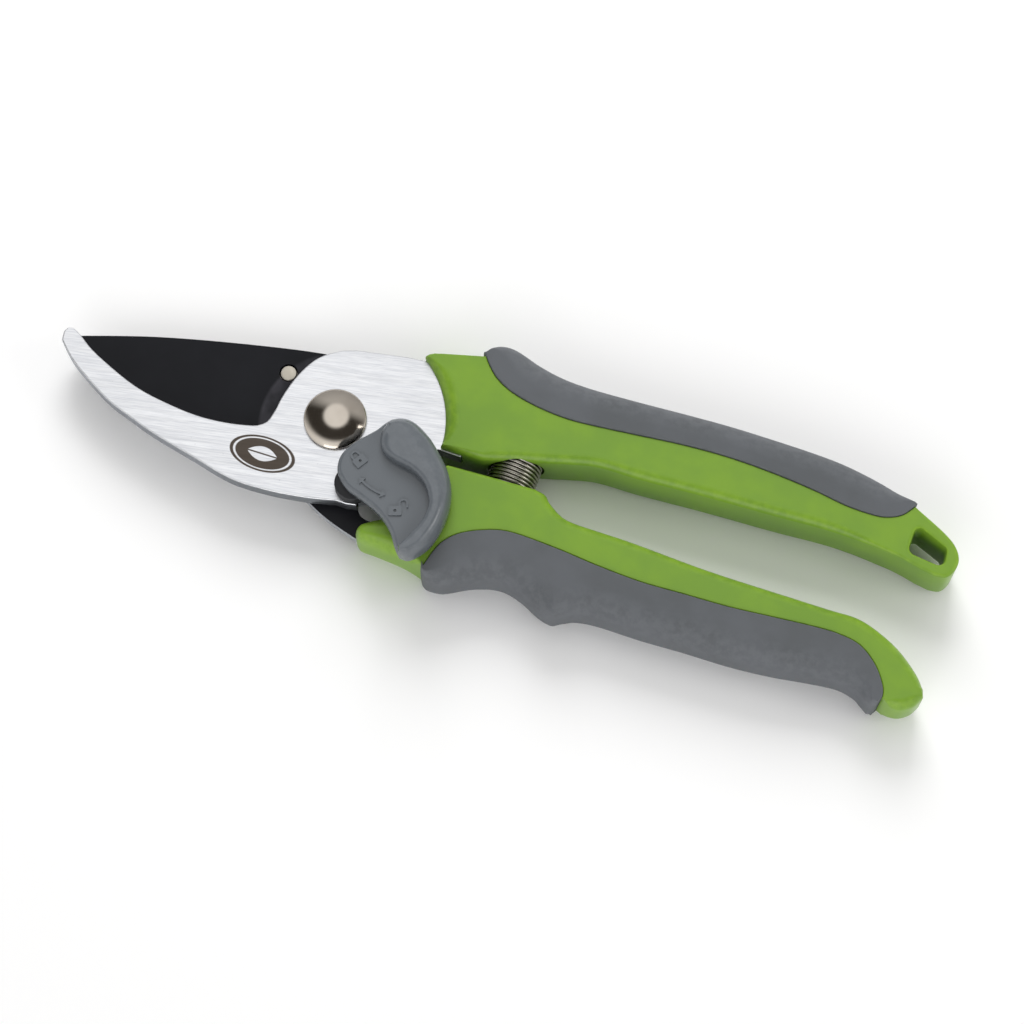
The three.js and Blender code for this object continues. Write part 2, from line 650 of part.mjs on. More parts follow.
add(
  "lock_pin",
  join(
    cylinder(LOCK_PIVOT.x, LOCK_PIVOT.y, LOCK_PIN_DIAMETER, pinHeadBack, pinTop, 24),
    cylinder(LOCK_PIVOT.x, LOCK_PIVOT.y, LOCK_PIN_HEAD_DIAMETER, pinHeadBack, pinHeadTop, 24),
  ),
  "steel",
);
add(
  "lock_washer",
  cut(
    cylinder(LOCK_PIVOT.x, LOCK_PIVOT.y, BOSS_DIAMETER - 1, washerFoot, washerTopFace, 28),
    cylinder(LOCK_PIVOT.x, LOCK_PIVOT.y, LOCK_PIN_DIAMETER + 2 * FIT, 0, SHELL_TOP, 24),
  ),
  "steel",
);
add(
  "lock_catch",
  join(
    cylinder(CATCH.x, CATCH.y, CATCH_DIAMETER, catchHeadBack, catchHeadTop, 28),
    cylinder(CATCH.x, CATCH.y, CATCH_PEG_DIAMETER, HOOK_BACK, catchStemTop, 24),
  ),
  "black",
);

// The part's frame: the middle of its box, on the surface that it lies on.
const box = new THREE.Box3().setFromObject(shears);
const middle = box.getCenter(new THREE.Vector3());
shears.position.set(-middle.x, -middle.y, -box.min.z);
const part = new THREE.Group();
part.add(shears);
export default part;
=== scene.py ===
"""Bypass pruning shears with a thumb lock: shells, grips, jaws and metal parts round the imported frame."""
import math

import bmesh
import bpy
from mathutils import Matrix, Vector


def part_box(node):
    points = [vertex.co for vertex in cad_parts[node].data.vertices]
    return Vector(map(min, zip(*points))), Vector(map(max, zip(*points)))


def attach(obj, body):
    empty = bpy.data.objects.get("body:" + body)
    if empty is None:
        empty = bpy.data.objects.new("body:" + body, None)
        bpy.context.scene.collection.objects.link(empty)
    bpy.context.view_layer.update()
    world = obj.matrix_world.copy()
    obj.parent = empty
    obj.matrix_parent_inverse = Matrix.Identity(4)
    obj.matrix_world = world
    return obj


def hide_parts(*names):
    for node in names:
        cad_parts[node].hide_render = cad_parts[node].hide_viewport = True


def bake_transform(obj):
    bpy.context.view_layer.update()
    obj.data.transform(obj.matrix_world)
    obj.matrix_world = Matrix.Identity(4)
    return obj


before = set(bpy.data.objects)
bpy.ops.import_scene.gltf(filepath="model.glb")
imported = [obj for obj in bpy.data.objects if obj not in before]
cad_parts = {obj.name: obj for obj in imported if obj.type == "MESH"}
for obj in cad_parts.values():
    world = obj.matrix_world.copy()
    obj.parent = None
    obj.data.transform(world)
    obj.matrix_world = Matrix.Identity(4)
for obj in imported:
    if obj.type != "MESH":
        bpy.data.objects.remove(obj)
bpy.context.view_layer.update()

# ------------------------------------------------------------------ places, from the frame
# Pieces are drawn in millimetres with the main pivot at X = Y = 0, and placed once they are whole.

MM = 0.001


def middle(node):
    low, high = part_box(node)
    return (Vector(low) + Vector(high)) / 2


def levels(node):
    low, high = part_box(node)
    return low[2] / MM, high[2] / MM


def spot(node):
    """The middle of a node, in the plane, from the pivot."""
    return (middle(node) - PIVOT).xy / MM


PIVOT = middle("pivot_bolt")
TO_FRAME = Matrix.Translation((PIVOT.x, PIVOT.y, 0)) @ Matrix.Scale(MM, 4)

HOOK_BACK, HOOK_TOP = levels("hook_plate")
BLADE_BACK, BLADE_TOP = levels("cutting_blade")
SHELL_BACK, SHELL_TOP = levels("upper_handle")
GRIP_BACK, GRIP_TOP = levels("upper_grip")
CATCH_BACK = levels("lock_catch")[0]
LEVER_LOW, RIB_TOP = levels("lock_lever")
BOLT_LOW, DOME_TOP = levels("pivot_bolt")
MID = (SHELL_BACK + SHELL_TOP) / 2
LEVER_BACK, LEVER_TOP = GRIP_TOP + 0.4, GRIP_TOP + 3.8
LOCK_PIVOT = spot("lock_pin")
CATCH = spot("lock_catch")
RIVET = spot("blade_rivet")
SPRING = middle("return_spring")
SPRING_X = (SPRING.x - PIVOT.x) / MM

# ------------------------------------------------------------------ outlines


def smooth(points, steps=5):
    """A smooth run through points."""
    run = []
    last = len(points) - 1
    spots = [Vector(p) for p in points]
    for i in range(last):
        before, here, there, after = (spots[min(max(i + k, 0), last)] for k in (-1, 0, 1, 2))
        lead, trail = (there - before) / 2, (after - here) / 2
        for t in (k / steps for k in range(steps)):
            bend = (2 * here - 2 * there + lead + trail) * t**3
            run.append(bend + (3 * there - 3 * here - 2 * lead - trail) * t**2 + lead * t + here)
    return run + [spots[last]]


def straight(points):
    return [Vector(p) for p in points]


def arc(x, y, radius, start, end, steps=16):
    turns = [math.radians(start + (end - start) * k / steps) for k in range(steps + 1)]
    return [Vector((x + radius * math.cos(a), y + radius * math.sin(a))) for a in turns]


def circle(x, y, radius, steps=64):
    return arc(x, y, radius, 0, 360, steps)[:-1]


def loop(*runs):
    """A closed outline from runs of points, counter-clockwise, without points that repeat."""
    points = [p for run in runs for p in run]
    kept = [p for i, p in enumerate(points) if (p - points[i - 1]).length > 0.02]
    area = sum(p.cross(kept[i - 1]) for i, p in enumerate(kept))
    return kept[::-1] if area > 0 else kept


def inward(points):
    """The way into a closed outline at each of its points."""
    ways = []
    for i, p in enumerate(points):
        ahead = (points[(i + 1) % len(points)] - p).normalized()
        behind = (p - points[i - 1]).normalized()
        way = (ahead + behind).normalized()
        ways.append(Vector((-way.y, way.x)))
    return ways


def offset(points, distance):
    """A closed outline moved outwards."""
    return [p - way * distance for p, way in zip(points, inward(points))]


def near(points, run, reach=0.05):
    """Whether each point of an outline belongs to a run that it was made from."""
    return [min((p - q).length for q in run) < reach for p in points]


# The hook: inner edge, neck, top and tang, then back along the outer edge to the tip.
HOOK_FRONT_RADIUS = 24.4
hook_outline = loop(
    smooth([(-64.6, 0.5), (-62.3, -0.6), (-57, -3.7), (-45.7, -7.9), (-35.7, -9.4), (-28.5, -9.6),
            (-22, -8.8), (-17.2, -7.6)]),
    smooth([(-16.2, -7.2), (-14.5, -5.6), (-13.8, -2.6), (-13.4, 1.5), (-12.2, 6.6), (-10.1, 11.3),
            (-7.6, 14.2), (-4.4, 16.4)]),
    smooth([(-1.5, 17.5), (5, 18.9), (13.1, 20.3), (22, 20.4), (30, 18.6), (40, 17.8)]),
    arc(61, 16.2, 1.6, 90, -90),
    straight([(34.8, 14.6), (32.6, 13.4), (30.7, 6), (29.8, 1.3)]),
    arc(0, 0, HOOK_FRONT_RADIUS, 3, -41, 24),
    straight([(9.4, -17.9)]),
    smooth([(7, -17.9), (0.8, -19.5), (-8, -20.9), (-17.4, -21.2), (-27.5, -19.2), (-37.7, -17.1),
            (-44.6, -15.1), (-51.1, -12.9), (-60.2, -7.9), (-64.2, -4.8)]),
    smooth([(-65.9, -3.1), (-66.2, -1), (-65.6, 0.2)]),
)

# The blade: cutting edge, belly and tang, then the spur, the hub and the spine.
cutting_edge = smooth([(-64, -1.4), (-57, -5.4), (-45.7, -9.9), (-35.7, -11.6), (-28, -12), (-20, -11.6)])
blade_outline = loop(
    cutting_edge,
    smooth([(-15, -12), (-8, -14.5), (1.1, -19.4), (7, -21.8), (13.6, -23.6)]),
    smooth([(20, -22.6), (30, -20.4), (45, -17), (58, -15.6)]),
    arc(59, -12.8, 2.8, -90, 90),
    smooth([(45, -10), (32, -11.4), (24, -14.8), (18.6, -17.6), (15.2, -18.7), (12.9, -18.2), (11.6, -16.8)]),
    arc(0, 0, 19.2, -54, -33),
    arc(0, 0, 14.2, -26, 60),
    smooth([(2.5, 16.3), (-9, 15.6), (-27.2, 11.6), (-46.2, 6.5), (-62, 1.1), (-63.9, 0.1)]),
)

# The upper handle, its grip and the hole at its end.
UPPER_FRONT_RADIUS = 25
upper_seam = smooth(
    [(27.2, 25.2), (28.8, 23.3), (31.3, 21.1), (34.9, 19.3), (39.6, 18.1), (45.2, 17.4), (50.7, 17.3),
     (57, 17.9), (65, 18.9), (76.2, 20.3), (86.4, 21), (96.7, 20.9), (107, 20.2), (115.1, 19.3),
     (121.6, 19.4), (124.9, 20.1), (127.8, 21.8), (129.8, 24.6)])
upper_front = arc(0, 0, UPPER_FRONT_RADIUS, 55.5, 3.6, 28)
upper_outline = loop(
    straight([(17.4, 22.5), (15.9, 22.1), (14.8, 21.5)]),
    upper_front,
    straight([(28, 1.6), (32, 1.7)]),
    smooth([(35, 1.9), (38.6, 3.1), (42.9, 4.5), (49.4, 6.3), (54, 7.7), (60.3, 9.2), (69.8, 9.6),
            (84.7, 10.8), (101, 11.8), (115, 12.8), (128, 12.4), (135.5, 11.1)]),
    smooth([(138.6, 10.7), (141.2, 11.2), (142.6, 13.4), (142.7, 16.3), (140.7, 19.2), (136.7, 21.6),
            (129.8, 24.6)]),
    upper_seam[::-1],
)
upper_side = smooth(
    [(26.4, 25.8), (27.1, 28.3), (29, 29.9), (31.7, 30.5), (35, 30), (39.2, 28.8), (45, 27.8),
     (51.6, 27.6), (62, 28.2), (73.5, 29.1), (83.9, 29.8), (94.1, 30.1), (104.3, 30.2), (112.2, 29.9),
     (120.1, 28.8), (125.2, 27.6), (128, 26.9), (129.5, 26.1), (130.1, 25.3)])
hanging_hole = loop(
    arc(132.7, 18.9, 1.2, 60, 180, 8),
    arc(133.1, 15.5, 1.6, 190, 265, 8),
    arc(138.3, 14.9, 1.5, 275, 370, 8),
    arc(138.1, 16.5, 1.5, 10, 65, 8),
)

# The lower handle and its grip, with a rest for the fore finger.
LOWER_FRONT_RADIUS = 27.2
lower_seam = smooth(
    [(31.2, -26.2), (32, -22.6), (33.4, -19.4), (36.5, -16.3), (42.1, -13.5), (47.6, -12.3),
     (58.5, -12.5), (67, -13.1), (77.7, -13.4), (87.6, -12.8), (97.7, -12.2), (107.4, -11.1),
     (116.9, -9.9), (122.8, -9.5), (128.1, -10.3), (132.6, -13.4), (135.6, -17.4), (136.3, -19.9)])
lower_cheek = [*straight([(x, -26.1 + (31.2 - x) * 0.075) for x in range(30, 17, -1)]),
               *arc(16, -22.9, 2.2, -96, -230, 10)]
lower_outline = loop(
    straight([(35.9, -1.2)]),
    smooth([(48.5, -0.4), (51, -0.9), (53, -2.6), (57.5, -4.7), (65.3, -4.8), (73.3, -4.7),
            (90.2, -5.1), (105.4, -4.8), (119, -4.3), (125.4, -4), (130.6, -5.2), (136.6, -7.9),
            (141.8, -11.8), (144.3, -14.8)]),
    smooth([(144.8, -16.6), (143.6, -18.9), (141.4, -20.6), (139.2, -21), (137.6, -20.6)]),
    lower_seam[::-1],
    lower_cheek,
    smooth([(16.6, -19.8), (18.9, -18.3), (21.2, -16.6)]),
    arc(0, 0, LOWER_FRONT_RADIUS, -32, -5.5, 16),
    straight([(28, -1.8)]),
)
lower_side = smooth(
    [(30.4, -25.4), (30.8, -27.2), (32.6, -28.7), (36.5, -28.5), (41.9, -25.7), (46, -24.1),
     (49.8, -23.7), (54, -24.8), (58.4, -26.7), (61.6, -27.1), (64.2, -26), (67, -24.7), (72, -24),
     (81.8, -23.8), (91.7, -23.2), (102, -22.8), (111.8, -21.8), (119.1, -20.6), (126.2, -19.7),
     (130.3, -20.3), (132.6, -21.4), (134.3, -21.9), (135.6, -21.3)])

# The thumb lever, and the rib that runs from its pivot round its outer side.
lever_side = smooth(
    [(11.6, 0.6), (13.2, 2.6), (15.8, 3.7), (18.6, 3.4), (22.1, 1.6), (26, -1.6), (29.4, -5.1),
     (31.6, -9), (32.6, -13.3), (32.6, -17.9), (31.6, -22.2), (29.8, -25.3), (27.8, -27), (25.8, -27)])
lever_outline = loop(
    lever_side,
    smooth([(25.8, -27), (24.3, -25.5), (21.5, -21.9), (17.6, -19.1), (13.2, -17.4), (9.2, -16.1),
            (6.4, -13.8), (5.4, -11.6), (5.4, -8.9), (6.9, -5.6), (9.4, -2.6), (10.9, -0.7), (11.6, 0.6)]),
)
rib_edge = smooth(
    [(25.2, -25.6), (26.6, -22.6), (28.1, -18.6), (28.3, -14.6), (27, -11.7), (24.9, -9.5), (21.6, -7.9),
     (17.6, -7.2), (14.6, -6.2), (12.9, -4.2), (12.3, -2)])

# ------------------------------------------------------------------ meshes


def piece_from(bm, name):
    mesh = bpy.data.meshes.new(name)
    bm.to_mesh(mesh)
    bm.free()
    made = bpy.data.objects.new(name, mesh)
    bpy.context.scene.collection.objects.link(made)
    return made


def rim_width(points, wanted):
    """How far the rim can reach in from each point of an outline, up to what is wanted there."""
    ways = inward(points)
    widths = []
    for p, way, most in zip(points, ways, wanted):
        limit = most
        for q, other in zip(points, wanted):
            depth = way.dot(q - p)
            if depth < 0.02:
                continue
            apart = (q - p).length
            if other < most / 2:
                limit = min(limit, max(apart - other - 0.3, other))
            else:
                limit = min(limit, 0.8 * apart * apart / (2 * depth))
        widths.append(limit)
    return eased(widths)


def eased(values, rounds=12):
    """Values round an outline, lowered where they would step up suddenly."""
    for _ in range(rounds):
        around = zip(values, values[1:] + values[:1], values[-1:] + values[:-1])
        values = [min(here, (2 * here + ahead + behind) / 4) for here, ahead, behind in around]
    return values


FLAT = 0.15  # the flat faces begin at most this far inside their rims


def wall(outline, back, top, width=0.25, rise=None, steps=4, back_rise=None):
    """Rings round an outline from the back to the top, with rounded rims. Each point is (x, y, z, rim)."""
    wanted = width if isinstance(width, list) else [width] * len(outline)
    reaches = rim_width(outline, wanted)
    rise = rise or max(wanted)
    rises = eased([rise * most / max(wanted) for most in wanted])
    back_share = (back_rise or rise) / rise
    quarter = [math.pi / 2 * k / steps for k in range(steps + 1)]
    below = [(1 - math.sin(a), 1 - math.cos(a), math.sin(2 * a)) for a in quarter]
    above = [(1 - math.cos(a), 1 - math.sin(a), math.sin(2 * a)) for a in quarter]
    flats = [reach + min(FLAT, 0.12 * reach) for reach in reaches]
    ways = inward(outline)

    def ring(level, sign, lift, profile, depths):
        return [(*(p + way * depth * profile[0]), level + sign * up * lift * profile[1], profile[2])
                for p, way, depth, up in zip(outline, ways, depths, rises)]

    return [
        ring(back, 1, 0, (1, 0, 0), flats),
        *[ring(back, 1, back_share, step, reaches) for step in below],
        *[ring(top, -1, 1, step, reaches) for step in above],
        ring(top, -1, 0, (1, 0, 0), flats),
    ]


def hole(outline, back, top, width=0.25):
    """The wall of a hole, whose rims widen outwards."""
    ways = inward(outline)
    profile = [(1.4, back, 0), (1, back, 0), (0.3, back + 0.3 * width, 1), (0, back + width, 0),
               (0, top - width, 0), (0.3, top - 0.3 * width, 1), (1, top, 0), (1.4, top, 0)]
    return [
        [(*(p - way * width * share), z, rim) for p, way in zip(outline, ways)]
        for share, z, rim in profile
    ]


def plain(outline, back, top):
    """A wall with sharp rims, for a tool that cuts."""
    return [[(*p, z, 0) for p in outline] for z in (back, top)]


def skin(name, *walls):
    """A closed piece: walls drawn ring by ring, and flat faces that close all their first and last rings."""
    bm = bmesh.new()
    place = bm.verts.layers.int.new("place")
    rim = bm.verts.layers.float.new("rim")
    ends = ([], [])
    for rings in walls:
        verts = [bm.verts.new(point[:3]) for point in rings[0]]
        for i, vert in enumerate(verts):
            vert[place] = i
        edges = [bm.edges.new((vert, verts[i - 1])) for i, vert in enumerate(verts)]
        ends[0].extend(edges)
        for ring in rings[1:]:
            made = bmesh.ops.extrude_edge_only(bm, edges=edges)["geom"]
            fresh = {v for v in made if isinstance(v, bmesh.types.BMVert)}
            edges = [e for e in made if isinstance(e, bmesh.types.BMEdge) and set(e.verts) <= fresh]
            for vert in fresh:
                *vert.co, vert[rim] = ring[vert[place]]
        ends[1].extend(edges)
    for edges in ends:
        bmesh.ops.triangle_fill(bm, edges=edges, use_beauty=True, use_dissolve=False)
    bmesh.ops.recalc_face_normals(bm, faces=bm.faces)
    return piece_from(bm, name)


def lathe(name, profile, centre=(0, 0), steps=96):
    """A body of revolution about an upright axis, from points of radius and height."""
    bm = bmesh.new()
    rim = bm.verts.layers.float.new("rim")
    verts = [bm.verts.new((centre[0] + p[0], centre[1], p[1])) for p in profile]
    for vert, point in zip(verts, profile):
        vert[rim] = point[2] if len(point) > 2 else 0
    edges = [bm.edges.new(pair) for pair in zip(verts, verts[1:])]
    if profile[0][0] > 0:
        edges.append(bm.edges.new((verts[-1], verts[0])))
    bmesh.ops.spin(bm, geom=verts + edges, cent=(*centre, 0), axis=(0, 0, 1), angle=math.tau,
                   steps=steps, use_merge=True, use_duplicate=False, dvec=(0, 0, 0))
    bmesh.ops.remove_doubles(bm, verts=bm.verts, dist=0.001)
    bmesh.ops.recalc_face_normals(bm, faces=bm.faces)
    return piece_from(bm, name)


def rod_y(name, x, z, diameter, y0, y1, segments=64):
    """A plain cylinder along Y."""
    bm = bmesh.new()
    turned = Matrix.Translation((x, (y0 + y1) / 2, z)) @ Matrix.Rotation(math.pi / 2, 4, "X")
    bmesh.ops.create_cone(bm, cap_ends=True, segments=segments, radius1=diameter / 2, radius2=diameter / 2,
                          depth=y1 - y0, matrix=turned)
    return piece_from(bm, name)


def shape(piece, tool, operation="DIFFERENCE"):
    """Cuts a tool out of a piece, or joins it on, and removes the tool."""
    step = piece.modifiers.new("shape", "BOOLEAN")
    step.operation, step.solver, step.object = operation, "EXACT", tool
    bpy.context.view_layer.update()
    whole = piece.evaluated_get(bpy.context.evaluated_depsgraph_get())
    mesh = bpy.data.meshes.new_from_object(whole)
    piece.modifiers.clear()
    piece.data = mesh
    bpy.data.objects.remove(tool)


def place(piece, body, slot, *materials, sharp=34, replaces=()):
    """Puts a whole piece where it belongs, with its finish and the body that carries it."""
    mesh = piece.data
    mesh.transform(TO_FRAME)
    mesh.name = piece.name
    for polygon in mesh.polygons:
        polygon.use_smooth = True
    mesh.set_sharp_from_angle(angle=math.radians(sharp))
    mesh.materials.clear()
    for material in materials:
        mesh.materials.append(material)
    if replaces:
        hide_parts(*replaces)
    if body:
        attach(piece, body)
    return piece


# ------------------------------------------------------------------ material nodes


def put(tree, kind, inputs=None, **settings):
    """A node with its settings; an input is a value, or a socket to link from."""
    made = tree.nodes.new(kind)
    for key, value in settings.items():
        setattr(made, key, value)
    for key, value in (inputs or {}).items():
        if isinstance(value, bpy.types.NodeSocket):
            tree.links.new(value, made.inputs[key])
        else:
            made.inputs[key].default_value = value
    return made


def group(name, inputs, outputs):
    """An empty node group with number inputs, and its first and last nodes."""
    tree = bpy.data.node_groups.new(name, "ShaderNodeTree")
    for key, value in inputs.items():
        socket = tree.interface.new_socket(key, in_out="INPUT", socket_type="NodeSocketFloat")
        socket.default_value = value
    for key in outputs:
        tree.interface.new_socket(key, in_out="OUTPUT", socket_type="NodeSocketFloat")
    return tree, put(tree, "NodeGroupInput"), put(tree, "NodeGroupOutput")


def maths(tree, operation, a, b=0.0, clamp=False):
    return put(tree, "ShaderNodeMath", {0: a, 1: b}, operation=operation, use_clamp=clamp).outputs[0]


def ramp(tree, value, low, high):
    """Nought below low, one above high, smooth between."""
    return put(tree, "ShaderNodeMapRange", {"Value": value, "From Min": low, "From Max": high},
               interpolation_type="SMOOTHSTEP").outputs[0]


def here(tree):
    return put(tree, "ShaderNodeTexCoord").outputs["Object"]


def grain_group():
    """Fine moulded grain and a slow change of tone. Scale is grains to a millimetre."""
    tree, start, end = group("grain", {"Scale": 3.0}, ("Grain", "Tone"))
    fine = put(tree, "ShaderNodeTexNoise",
               {"Vector": here(tree), "Scale": maths(tree, "MULTIPLY", start.outputs["Scale"], 1000),
                "Detail": 3.0, "Roughness": 0.6})
    slow = put(tree, "ShaderNodeTexNoise",
               {"Vector": here(tree), "Scale": maths(tree, "MULTIPLY", start.outputs["Scale"], 30),
                "Detail": 4.0, "Roughness": 0.55})
    tree.links.new(fine.outputs["Fac"], end.inputs["Grain"])
    tree.links.new(slow.outputs["Fac"], end.inputs["Tone"])
    return tree


def brushed_group():
    """Ground lines along one way in the plane. Turn is in radians, Scale in lines to a millimetre."""
    tree, start, end = group("ground_lines", {"Turn": 0.0, "Scale": 4.0}, ("Lines", "Bands"))
    turn = put(tree, "ShaderNodeCombineXYZ", {"Z": start.outputs["Turn"]})
    turned = put(tree, "ShaderNodeVectorRotate", {"Vector": here(tree), "Rotation": turn.outputs[0]},
                 rotation_type="EULER_XYZ")
    long_way = put(tree, "ShaderNodeVectorMath", {0: turned.outputs[0], 1: (0.035, 1.0, 1.0)},
                   operation="MULTIPLY")
    fine = put(tree, "ShaderNodeTexNoise",
               {"Vector": long_way.outputs[0], "Scale": maths(tree, "MULTIPLY", start.outputs["Scale"], 1000),
                "Detail": 4.0, "Roughness": 0.7})
    broad = put(tree, "ShaderNodeTexNoise",
                {"Vector": long_way.outputs[0], "Scale": maths(tree, "MULTIPLY", start.outputs["Scale"], 260),
                 "Detail": 2.0, "Roughness": 0.5})
    tree.links.new(fine.outputs["Fac"], end.inputs["Lines"])
    tree.links.new(broad.outputs["Fac"], end.inputs["Bands"])
    return tree


def rim_wear_and_highlight_group():
    """Rims from the rim attribute, broken up by noise: painted highlight on the moulded parts, wear through
    the blade's coating, paler rims on bare metal.
    """
    tree, start, end = group("rim_wear_and_highlight", {"Amount": 0.5, "Scale": 0.8}, ("RimShare",))
    rim = put(tree, "ShaderNodeAttribute", attribute_name="rim").outputs["Fac"]
    patches = put(tree, "ShaderNodeTexNoise",
                  {"Vector": here(tree), "Scale": maths(tree, "MULTIPLY", start.outputs["Scale"], 1000),
                   "Detail": 4.0, "Roughness": 0.65})
    broken = maths(tree, "MULTIPLY", rim, ramp(tree, patches.outputs["Fac"], 0.35, 0.65))
    mix = maths(tree, "MULTIPLY", broken, start.outputs["Amount"], clamp=True)
    tree.links.new(mix, end.inputs["RimShare"])
    return tree


def marks_group():
    """Sparse small spots, such as dirt or pits. Share is how much of the surface they take."""
    tree, start, end = group("spots", {"Scale": 0.4, "Share": 0.1}, ("Spots",))
    noise = put(tree, "ShaderNodeTexNoise",
                {"Vector": here(tree), "Scale": maths(tree, "MULTIPLY", start.outputs["Scale"], 1000),
                 "Detail": 5.0, "Roughness": 0.7})
    level = maths(tree, "SUBTRACT", 0.74, start.outputs["Share"])
    over = maths(tree, "SUBTRACT", noise.outputs["Fac"], level)
    tree.links.new(ramp(tree, over, 0.0, 0.05), end.inputs["Spots"])
    return tree


GRAIN, BRUSHED, RIM_WEAR_AND_HIGHLIGHT, SPOTS = grain_group(), brushed_group(), rim_wear_and_highlight_group(), marks_group()


def use(tree, effect, **values):
    made = put(tree, "ShaderNodeGroup", node_tree=effect)
    for key, value in values.items():
        made.inputs[key].default_value = value
    return made.outputs


def mixed(tree, share, a, b):
    """One colour over another, by a share."""
    made = put(tree, "ShaderNodeMix", {0: share, 6: a, 7: b}, data_type="RGBA")
    return made.outputs[2]


def bumped(tree, height, strength, distance):
    made = put(tree, "ShaderNodeBump", {"Height": height, "Strength": strength, "Distance": distance * MM})
    return made.outputs[0]


def srgb(code):
    """A colour from its usual six-figure code."""
    parts = [int(code[i:i + 2], 16) / 255 for i in (0, 2, 4)]
    return (*[p / 12.92 if p < 0.04045 else ((p + 0.055) / 1.055) ** 2.4 for p in parts], 1)


def finish(name, **constants):
    """A material and its shader, with the values that are the same all over."""
    material = bpy.data.materials.new(name)
    material.use_nodes = True
    tree = material.node_tree
    tree.nodes.clear()
    shader = put(tree, "ShaderNodeBsdfPrincipled", constants)
    output = put(tree, "ShaderNodeOutputMaterial")
    tree.links.new(shader.outputs[0], output.inputs[0])
    return material, tree, shader


def feed(tree, shader, **sources):
    for key, source in sources.items():
        tree.links.new(source, shader.inputs[key.replace("_", " ")])


def moulded(name, colour, deep, highlight_colour, roughness, grain_depth, spots, **constants):
    """Moulded plastic or rubber: a slow change of tone, grain, rims painted paler as a painted highlight, and
    a few dirt spots.
    """
    material, tree, shader = finish(name, **constants)
    grain = use(tree, GRAIN, Scale=2.4)
    tone = mixed(tree, ramp(tree, grain["Tone"], 0.35, 0.65), deep, colour)
    # Painted highlight: the rims are mixed towards a paler colour.
    rim_share = use(tree, RIM_WEAR_AND_HIGHLIGHT, Amount=0.55, Scale=0.5)["RimShare"]
    with_highlight = mixed(tree, rim_share, tone, highlight_colour)
    dirt = use(tree, SPOTS, Scale=0.35, Share=spots)["Spots"]
    dark = mixed(tree, maths(tree, "MULTIPLY", dirt, 0.45), with_highlight, srgb("2c2e2a"))
    rough = maths(tree, "MULTIPLY_ADD", grain["Tone"], 0.16)
    rough.node.inputs[2].default_value = roughness - 0.08
    feed(tree, shader, Base_Color=dark, Roughness=rough,
         Normal=bumped(tree, grain["Grain"], 0.35, grain_depth))
    return material


def green_plastic():
    return moulded("green_plastic", srgb("779c2e"), srgb("6f9430"), srgb("8bb036"), 0.34, 0.012, -0.01,
                    **{"Specular IOR Level": 0.35})


def soft_rubber():
    return moulded("soft_rubber", srgb("5f6266"), srgb("595c5f"), srgb("6c6f73"), 0.62, 0.03, 0.02,
                    **{"Specular IOR Level": 0.3})


def lever_plastic():
    return moulded("lever_plastic", srgb("60656a"), srgb("5d6267"), srgb("6a6f74"), 0.22, 0.006, -0.06)


def black_plastic():
    return moulded("black_plastic", srgb("232427"), srgb("1c1d20"), srgb("3a3b3f"), 0.45, 0.01, -0.05)


def ground_steel():
    """The hook: ground lines, a few dark pits and an etched mark with no lettering."""
    material, tree, shader = finish("ground_steel", Metallic=1.0)
    lines = use(tree, BRUSHED, Turn=-0.21, Scale=4.5)
    base = mixed(tree, ramp(tree, lines["Lines"], 0.3, 0.7), srgb("d9dbe0"), srgb("f5f6f8"))
    pits = use(tree, SPOTS, Scale=0.9, Share=0.06)["Spots"]
    pitted = mixed(tree, maths(tree, "MULTIPLY", pits, 0.5), base, srgb("8f9298"))
    # The mark is an oval with a thin clear line inside its rim and a plain leaf shape in the middle.
    centre = PIVOT + Vector((-12.6 * MM, -13.2 * MM, 0))
    turned = put(tree, "ShaderNodeMapping",
                 {"Vector": here(tree), "Location": (-centre.x, -centre.y, 0)}, vector_type="POINT")
    level = put(tree, "ShaderNodeVectorRotate", {"Vector": turned.outputs[0], "Angle": math.radians(-2)},
                rotation_type="Z_AXIS", invert=False)
    split = put(tree, "ShaderNodeSeparateXYZ", {0: level.outputs[0]})
    across = maths(tree, "DIVIDE", split.outputs[0], 7.8 * MM)
    up = maths(tree, "DIVIDE", split.outputs[1], 4.2 * MM)
    round_way = maths(tree, "SQRT", maths(tree, "ADD", maths(tree, "MULTIPLY", across, across),
                                          maths(tree, "MULTIPLY", up, up)))
    oval = maths(tree, "SUBTRACT", 1.0, ramp(tree, round_way, 0.97, 1.0))
    line = maths(tree, "MULTIPLY", ramp(tree, round_way, 0.8, 0.83), maths(tree, "SUBTRACT", 1.0, ramp(
        tree, round_way, 0.87, 0.9)))
    leaf = maths(tree, "ADD", maths(tree, "MULTIPLY", maths(tree, "ABSOLUTE", up), 1.6),
                 maths(tree, "MULTIPLY", maths(tree, "MULTIPLY", across, across), 3.0))
    leaf_in = maths(tree, "SUBTRACT", 1.0, ramp(tree, leaf, 0.62, 0.68))
    vein = ramp(tree, maths(tree, "ABSOLUTE", up), 0.02, 0.06)
    clear = maths(tree, "MAXIMUM", line, maths(tree, "MULTIPLY", leaf_in, vein))
    mark = maths(tree, "MULTIPLY", oval, maths(tree, "SUBTRACT", 1.0, clear))
    facing = put(tree, "ShaderNodeSeparateXYZ", {0: put(tree, "ShaderNodeNewGeometry").outputs["Normal"]})
    front = ramp(tree, facing.outputs[2], 0.8, 0.95)
    etched = maths(tree, "MULTIPLY", mark, front)
    colour = mixed(tree, etched, pitted, srgb("6a6159"))
    rough = maths(tree, "MULTIPLY_ADD", lines["Bands"], 0.2)
    rough.node.inputs[2].default_value = 0.26
    rougher = maths(tree, "ADD", rough, maths(tree, "MULTIPLY", etched, 0.25))
    feed(tree, shader, Base_Color=colour, Roughness=rougher, Normal=bumped(tree, lines["Lines"], 0.25, 0.012))
    return material


